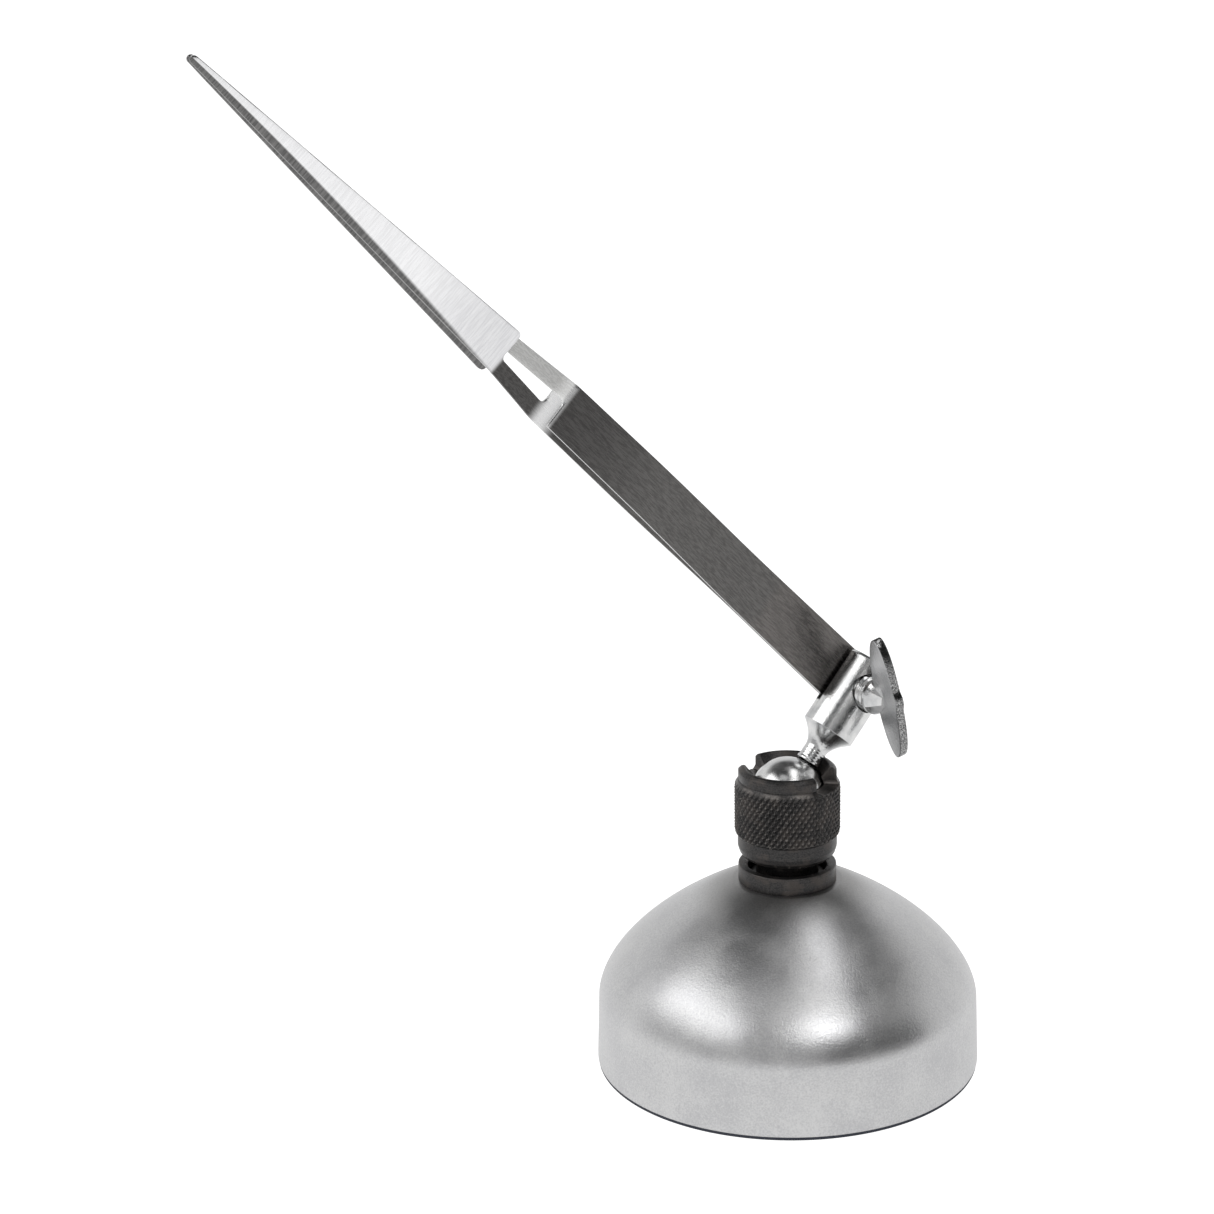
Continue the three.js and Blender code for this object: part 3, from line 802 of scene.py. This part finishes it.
def nut_profile():
    """Outline of the nut's section, anticlockwise from the bottom of the thread."""
    lip_height = NUT_HIGH.z - NUT_LIP_DEPTH
    pocket_top = BALL_HEIGHT + math.sqrt(NUT_POCKET_RADIUS ** 2 - NUT_LIP_RADIUS ** 2)
    outline = [
        (NUT_THREAD_RADIUS, NUT_LOW.z, 0.15),
        (NUT_FOOT_RADIUS, NUT_LOW.z, 0.25),
        (NUT_BAND_RADIUS - 0.28, NUT_LOW.z + 0.75, 0.5),
        (NUT_BAND_RADIUS, NUT_LOW.z + 1.7, 0.7),
        (NUT_BAND_RADIUS, NUT_BAND_TOP, 0.15),
    ]
    for height in np.linspace(NUT_BAND_TOP + 0.08, NUT_SHOULDER_TOP - 0.05, 96):
        low = (height - NUT_BAND_TOP) / (NUT_KNURL_BOTTOM - NUT_BAND_TOP)
        high = (NUT_SHOULDER_TOP - height) / (NUT_SHOULDER_TOP - NUT_KNURL_TOP)
        share = min(low, high, 1.0)
        outline.append((NUT_BAND_RADIUS + (NUT_HIGH.x - NUT_BAND_RADIUS) * share, height, 0))
    outline += [
        (NUT_BAND_RADIUS, NUT_SHOULDER_TOP, 0),
        (NUT_NECK_RADIUS - 0.05, NUT_SHOULDER_TOP + 0.12, 0),
        (NUT_NECK_RADIUS, NUT_SHOULDER_TOP + 0.3, 0),
    ]
    lip = rounded([
        (NUT_NECK_RADIUS, NUT_SHOULDER_TOP + 0.3, 0),
        (NUT_NECK_RADIUS, NUT_NECK_TOP, 0.35),
        ((NUT_NECK_RADIUS + NUT_CREST_RADIUS) / 2, NUT_HIGH.z - 0.15, 0.6),
        (NUT_CREST_RADIUS, NUT_HIGH.z, 0.45),
        (NUT_LIP_RADIUS, lip_height, 0.2),
        (NUT_LIP_RADIUS, pocket_top, 0),
    ], closed=False, steps=6)
    outline += [(radius, height, 0) for radius, height in lip[1:]]
    for angle in np.linspace(math.asin((pocket_top - BALL_HEIGHT) / NUT_POCKET_RADIUS), 0, 9)[1:]:
        outline.append((NUT_POCKET_RADIUS * math.cos(angle),
                        BALL_HEIGHT + NUT_POCKET_RADIUS * math.sin(angle), 0))
    outline += [
        (NUT_POCKET_RADIUS, NUT_THREAD_TOP, 0.1),
        (NUT_THREAD_RADIUS, NUT_THREAD_TOP, 0.1),
    ]
    return rounded(outline)


def lock_nut():
    """The section is swept round the axis, pressed in by the knurl and cut off at the notches."""
    edge_angles = notch_caps()[0]
    angles = np.unique(np.round(np.concatenate([ring_angles(KNURL_LINES * 10), edge_angles]), 6))
    caps = nut_cap_heights(angles)
    rings = []
    for radius, height in nut_profile():
        radii = radius
        if NUT_BAND_TOP < height < NUT_SHOULDER_TOP and radius > NUT_BAND_RADIUS - 0.01:
            radii = np.minimum(radius, knurled_radius(angles, height))
        heights = np.minimum(height, caps)
        opening = np.sqrt(np.maximum(NUT_POCKET_RADIUS ** 2 - (caps - BALL_HEIGHT) ** 2, 0))
        radii = np.where(caps < height, np.maximum(radii, opening), radii)
        rings.append(ring(angles, radii, heights))
    return mesh_object("knurled_nut", *wrapped(rings, True))


def swivel_ball():
    """Centred on its own origin, with a blind hole up its +Z side."""
    rim = math.sqrt(BALL_RADIUS ** 2 - BALL_HOLE_RADIUS ** 2)
    end = math.asin(rim / BALL_RADIUS) - 0.01
    profile = []
    for angle in np.linspace(-math.pi / 2, end, 72):
        profile.append((BALL_RADIUS * math.cos(angle), BALL_RADIUS * math.sin(angle), 0))
    profile += [
        (BALL_HOLE_RADIUS, rim - 0.12, 0.05),
        (BALL_HOLE_RADIUS, BALL_HOLE_FLOOR, 0.05),
        (0, BALL_HOLE_FLOOR, 0),
    ]
    return turned_piece("pivot_ball", rounded(profile, closed=False), 128, closed=False)


# ------------------------------------------------------------------ stem and clamp


def stem_profile():
    """Foot, a neck with faint rings, the flare and the clamp's cylinder."""
    outline = [
        (0, STEM_FOOT, 0),
        (STEM_FOOT_RADIUS, STEM_FOOT, 0.1),
        (STEM_FOOT_RADIUS, NECK_START - 0.25, 0),
        (NECK_SHOULDER, NECK_START, 0.15),
        (NECK_SHOULDER, NECK_START + 0.35, 0.1),
    ]
    for index in range(NECK_RINGS):
        height = NECK_START + 0.55 + index * NECK_RING_PITCH
        outline.append((NECK_RADIUS, height, 0.03))
        outline.append((NECK_RADIUS + 0.02, height + NECK_RING_PITCH / 2, 0.06))
    for step in range(1, 25):
        share = step / 24
        swell = (CLAMP_RADIUS - NECK_RADIUS) * share ** FLARE_POWER
        outline.append((NECK_RADIUS + swell, FLARE_START + (CLAMP_START - FLARE_START) * share, 0))
    outline[-1] = (CLAMP_RADIUS, CLAMP_START, 0.12)
    outline += [
        (CLAMP_RADIUS, CLAMP_END - CLAMP_CHAMFER, 0.15),
        (CLAMP_RADIUS - CLAMP_CHAMFER, CLAMP_END, 0.15),
        (0, CLAMP_END, 0),
    ]
    return rounded(outline, closed=False, steps=4)


def box_cutter(size_x, size_y, size_z, centre):
    cutter = bmesh.new()
    bmesh.ops.create_cube(cutter, size=1)
    bmesh.ops.scale(cutter, verts=cutter.verts, vec=(size_x, size_y, size_z))
    bmesh.ops.translate(cutter, verts=cutter.verts, vec=centre)
    return object_from("cutter", cutter)


def screw_hole_cutter():
    """A hole through the near cheek."""
    start = -SLOT_NEAR_FACE - SLOT_WIDTH / 2
    profile = [
        (0, start),
        (SCREW_HOLE_RADIUS, start),
        (SCREW_HOLE_RADIUS, CLAMP_RADIUS + 1),
        (0, CLAMP_RADIUS + 1),
    ]
    cutter = turned_piece("cutter", profile, 96, closed=False)
    cutter.data.transform(Matrix.Translation((0, 0, PIVOT)) @ Matrix.Rotation(math.pi / 2, 4, "X"))
    return cutter


def clamp_body():
    piece = turned_piece("slotted_clamp", stem_profile(), 160, closed=False)
    depth = CLAMP_END - SLOT_START + 2
    across = SLOT_NEAR_FACE + SLOT_WIDTH / 2
    slot = box_cutter(3 * CLAMP_RADIUS, SLOT_WIDTH, depth, (0, across, SLOT_START + depth / 2))
    cut(piece, slot, screw_hole_cutter())
    soften(piece, 0.1)
    return piece


# ------------------------------------------------------------------ thumb screw and wing


def thumb_screw():
    """Thread, shoulder and a six-sided cone; the axis is +Z."""
    angles = ring_angles(144)
    rings = [ring(angles, 0.0, SCREW_TIP), ring(angles, SCREW_RADIUS - 0.5, SCREW_TIP)]
    thread_end = SCREW_SHOULDER - 0.55
    for height in np.arange(SCREW_TIP + 0.1, SCREW_SHOULDER, THREAD_STEP):
        groove = triangle_wave(height / THREAD_PITCH - angles / (2 * math.pi))
        groove = np.clip(1.25 * groove - 0.1, 0, 1)     # blunt crests and roots
        run_in = np.clip((height - SCREW_TIP) / THREAD_RUN_OUT, 0.3, 1)
        run_out = np.clip((thread_end - height) / THREAD_RUN_OUT, 0, 1)
        rings.append(ring(angles, SCREW_RADIUS - THREAD_DEPTH * groove * run_out * run_in, height))

    side = 2 * math.pi / CONE_SIDES
    flat = np.cos(side / 2) / np.cos((angles + CONE_TURN) % side - side / 2)
    for share in np.linspace(0, 1, 9):
        height = SCREW_SHOULDER + share * (SCREW_APEX - SCREW_SHOULDER)
        radius = SCREW_RADIUS + share * (SCREW_APEX_RADIUS - SCREW_RADIUS)
        rings.append(ring(angles, radius * (1 + min(1.0, 3 * share) * (flat - 1)), height))
    rings.append(ring(angles, 0.0, SCREW_APEX + 0.15))
    return mesh_object("wing_screw", *wrapped(rings, False))


def wing_plate():
    """A thin leaf, longer than wide, with blunt ends and a rivet's end on its outer edge."""
    middle = WING_INNER_EDGE + WING_WIDTH / 2
    outline = []
    for angle in ring_angles(144):
        x = WING_LENGTH / 2 * math.copysign(abs(math.cos(angle)) ** 0.92, math.cos(angle))
        y = WING_WIDTH / 2 * math.sin(angle)
        nub = WING_NUB * math.exp(-(x / WING_NUB_HALF) ** 4) if y > 0 else 0
        outline.append((WING_SHIFT + x, middle + y + nub))
    piece = plate("wing", outline, WING_THICKNESS, WING_EDGE)
    piece.data.transform(Matrix.Rotation(math.pi / 2, 4, "X"))
    return piece


# ------------------------------------------------------------------ tweezers


def strip_offset(x):
    """Distance of a strip's centre from the mid-plane, negative on the side of its handle."""
    if x <= HANDLE_END:
        share = min(max((x - TAIL_END) / (SPREAD_END - TAIL_END), 0), 1)
        return -(CLOSED_OFFSET + (HANDLE_BOW - CLOSED_OFFSET) * share ** 2 * (3 - 2 * share))
    if x <= TIP_START:
        share = (x - HANDLE_END) / (TIP_START - HANDLE_END)
        return -HANDLE_BOW + (TIP_BOW + HANDLE_BOW) * share
    share = min((x - TIP_START) / (TIP_END - TIP_START), 1)
    return CLOSED_OFFSET + (TIP_BOW - CLOSED_OFFSET) * math.sqrt(1 - share ** 3)


def eased_offset(x):
    """The same with its bends rounded, by averaging over a short length of strip."""
    return sum(strip_offset(x + BEND_REACH * step / 6) for step in range(-6, 7)) / 13


def tail_arc(radius, side=1):
    """Points of the half circle round the tail's end, from the `side` edge to the other."""
    angles = np.linspace(math.pi / 2, 3 * math.pi / 2, 33)
    return [(radius * math.cos(angle), side * radius * math.sin(angle)) for angle in angles]


def strip_outline(side):
    """Plan of a strip whose narrow crossing runs along the `side` edge (+1 upper, -1 lower)."""
    end = TIP_END - TIP_POINT_RADIUS
    corners = [
        *((x, y, 0) for x, y in tail_arc(TAIL_RADIUS, side)),
        (HANDLE_END, -side * HANDLE_FRONT_HALF, 0.25),
        (HANDLE_END, side * CROSSING_INNER, 1.1),
        (TIP_START, side * CROSSING_INNER, 0.8),
        (TIP_START, -side * HANDLE_FRONT_HALF, 0.9),
        (end, -side * TIP_POINT_RADIUS, 0),
    ]
    for angle in np.linspace(-math.pi / 2, math.pi / 2, 9)[1:-1]:
        corners.append((end + TIP_POINT_RADIUS * math.cos(angle),
                        side * TIP_POINT_RADIUS * math.sin(angle), 0))
    corners += [(end, side * TIP_POINT_RADIUS, 0), (HANDLE_END, side * HANDLE_FRONT_HALF, 0)]
    points = rounded(corners)
    return points if side > 0 else points[::-1]


def strip_sections():
    """Planes that cut a strip across, closely at its crossing, and lengthwise."""
    stations = [*np.arange(-3, 24, 3), *np.arange(24, 77, 2), *np.arange(77, 97, 0.5),
                *np.arange(97, 159, 2)]
    across = [((x, 0, 0), (1, 0, 0)) for x in stations]
    lengthwise = [((0, 0.8 * step, 0), (0, 1, 0)) for step in range(-4, 5)]
    return across + lengthwise


def tweezer_strip(name, side):
    """One spring strip, bent to shape, thinned, crowned and slightly twisted towards its tip."""
    piece = plate(name, strip_outline(side), STRIP_THICKNESS, STRIP_EDGE, strip_sections())
    for vertex in piece.data.vertices:
        x, y, z = vertex.co
        share = min(max((x - TIP_START) / (TIP_END - TIP_START), 0), 1)
        half = HANDLE_FRONT_HALF + (TIP_POINT_RADIUS - HANDLE_FRONT_HALF) * share
        outward = side * z
        if x > TIP_START - 1:
            ease = min((x - TIP_START + 1) / 3, 1)
            thinned = STRIP_THICKNESS + (TIP_THICKNESS - STRIP_THICKNESS) * share
            crown = TIP_CROWN * half * (1 - min((y / half) ** 2, 1)) * ease
            outer = (outward + STRIP_THICKNESS / 2) / STRIP_THICKNESS
            outward = -STRIP_THICKNESS / 2 + outer * (thinned + crown)
        twist = TIP_TWIST * min(max((x - TWIST_START) / (TIP_START - TWIST_START), 0), 1)
        vertex.co.z = side * (eased_offset(x) + outward) + y * math.sin(twist)
    tidy(piece)
    return piece


def weld_seam():
    """The thin fused layer between the two strips at the tail; it reaches slightly into both."""
    outline = tail_arc(WELD_ROUND * TAIL_RADIUS)
    outline += [(TAIL_END, -WELD_HALF_WIDTH), (TAIL_END, WELD_HALF_WIDTH)]
    gap = 2 * CLOSED_OFFSET - STRIP_THICKNESS
    return plate("weld_seam", outline, gap + 0.02, 0.03)


# ------------------------------------------------------------------ assembly


def build_object():
    nickel = satin_nickel()
    oxide = black_oxide("black_oxide", UPRIGHT)
    # the nut's finish carries a painted highlight in a band just below its shoulder's top
    nut_oxide = black_oxide("black_oxide_nut", UPRIGHT, NUT_SHOULDER_TOP - 0.35)
    stem_plate = bright_plate("bright_plate_stem", STEM, 0.42)
    ball_plate = bright_plate("bright_plate_ball", STEM, 0.05, 0.20)
    screw_plate = bright_plate("bright_plate_screw", SCREW, 0.35, 0.2)
    steel = brushed_steel()

    def fixed(piece, matrix, material, slot, body, *nodes, **options):
        place(piece, matrix, material, slot, **options)
        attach(piece, body)
        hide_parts(*nodes)

    fixed(base_shell(), UPRIGHT, nickel, "satin_nickel", "base", "base_shell", sharp=50)
    fixed(base_pad(), UPRIGHT, rubber(), "pad", "base", "base_pad")
    fixed(collar_ring(), UPRIGHT, oxide, "black_oxide", "base", "collar_ring")
    fixed(socket_post(), UPRIGHT, oxide, "black_oxide", "base", "socket_post")
    fixed(lock_nut(), UPRIGHT, nut_oxide, "black_oxide", "lock_nut", "lock_nut", sharp=32)
    fixed(swivel_ball(), STEM, ball_plate, "chrome_plate", "ball", "swivel_ball")
    fixed(clamp_body(), STEM, stem_plate, "chrome_plate", "stem", "clamp_body", flat=True)
    fixed(thumb_screw(), SCREW, screw_plate, "chrome_plate", "screw", "thumb_screw", sharp=24)
    fixed(wing_plate(), SCREW, wing_finish(), "chrome_plate", "screw", "wing_plate", flat=True)
    fixed(keep_rest(weld_seam()), TWEEZERS, steel, "tweezer_steel", "tweezer_tail", "tweezer_tail")

    for body, side in (("blade_front", 1), ("blade_back", -1)):
        strip = keep_rest(tweezer_strip(body.replace("blade", "strip"), side))
        place(strip, TWEEZERS, steel, "tweezer_steel", flat=True)
        strip.visible_glossy = False    # so that the clamp mirrors the softbox and not the tail
        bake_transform(strip)
        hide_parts(body)

    inner = {"base_weight": cast_iron(), "ball_seat": nylon()}
    zinc = bright_plate("zinc_plate", UPRIGHT, 0.4, 0.3)
    inner.update({"anchor_washer": zinc, "anchor_nut": zinc})
    for node, material in inner.items():
        mesh = frame["nodes"][node].data
        mesh.materials.clear()
        mesh.materials.append(material)


# ------------------------------------------------------------------ studio


def direction(azimuth, elevation):
    """Unit vector; azimuth 0 points at the front and 90 to the right, in degrees."""
    turn, rise = math.radians(azimuth), math.radians(elevation)
    return Vector((math.sin(turn) * math.cos(rise), -math.cos(turn) * math.cos(rise), math.sin(rise)))


def softbox(name, azimuth, elevation, width, height, radiance):
    light = bpy.data.lights.new(name, "AREA")
    light.shape = "RECTANGLE"
    light.size, light.size_y = width, height
    light.energy = radiance * width * height * math.pi
    lamp = add_to_scene(bpy.data.objects.new(name, light))
    lamp.location = LIGHT_TARGET + direction(azimuth, elevation) * LIGHT_DISTANCE
    lamp.rotation_mode = "QUATERNION"
    lamp.rotation_quaternion = (LIGHT_TARGET - lamp.location).to_track_quat("-Z", "Y")


def studio_floor():
    """A grey floor that glows, more strongly for the camera, so that it looks white there."""
    shape = bmesh.new()
    bmesh.ops.create_circle(shape, cap_ends=True, radius=FLOOR_RADIUS, segments=96)
    floor = object_from("floor", shape)
    look = Finish("floor", UPRIGHT, 0.9, 0.0)
    look.colour((0.45, 0.45, 0.45, 1))
    look.surface.inputs["Specular IOR Level"].default_value = 0.1
    look.surface.inputs["Emission Color"].default_value = (1, 1, 1, 1)
    glow = look.fade(look.is_camera_ray(), 0.0, 1.0, 0.70, 0.98, "LINEAR")
    look.link(glow, look.surface.inputs["Emission Strength"])
    floor.data.materials.append(look.material)


def studio_world():
    """Pale walls behind and beside, a dark ceiling, and a front that is grey at left and dark at right.

    The camera itself sees plain white.
    """
    world = bpy.data.worlds.new("studio")
    bpy.context.scene.world = world
    world.use_nodes = True
    sky = Nodes(world.node_tree)
    background = sky.tree.nodes["Background"]
    parts = sky.add("ShaderNodeSeparateXYZ")
    sky.link(sky.add("ShaderNodeTexCoord").outputs["Generated"], parts.inputs[0])
    front = sky.fade(parts.outputs["X"], 0.1, 0.62, 0.50, 0.02)
    level = sky.fade(parts.outputs["Y"], -0.22, 0.15, front, 0.85)
    studio = sky.fade(parts.outputs["Z"], 0.46, 0.72, level, 0.08)
    sky.link(sky.fade(sky.is_camera_ray(), 0.0, 1.0, studio, 1.0, "LINEAR"), background.inputs["Strength"])
    background.inputs["Color"].default_value = (1, 1, 1, 1)


def studio_lights():
    softbox("left_softbox", -68, 43, 0.92, 0.40, 2.0)
    softbox("right_softbox", 27, 46, 0.48, 0.26, 3.8)
    softbox("right_upper_panel", 48, 64, 0.26, 0.22, 1.4)
    softbox("top_panel", 92, 74, 0.40, 0.26, 1.9)
    softbox("front_panel", -28, 68, 0.34, 0.26, 0.6)


def studio_camera():
    camera = add_to_scene(bpy.data.objects.new("camera", bpy.data.cameras.new("camera")))
    camera.location = CAMERA_PLACE
    look = (CAMERA_TARGET - camera.location).to_track_quat("-Z", "Y")
    roll = Matrix.Rotation(CAMERA_ROLL, 3, "Z").to_quaternion()
    camera.rotation_mode = "QUATERNION"
    camera.rotation_quaternion = look @ roll
    camera.data.sensor_width = SENSOR_WIDTH
    camera.data.lens = SENSOR_WIDTH / 2 / math.tan(VIEW_ANGLE / 2)
    camera.data.clip_start = 0.01
    camera.data.clip_end = 20
    bpy.context.scene.camera = camera


def colour_management():
    view = bpy.context.scene.view_settings
    view.view_transform = "Standard"
    view.look = "None"


studio_camera()
build_object()
studio_floor()
studio_world()
studio_lights()
colour_management()
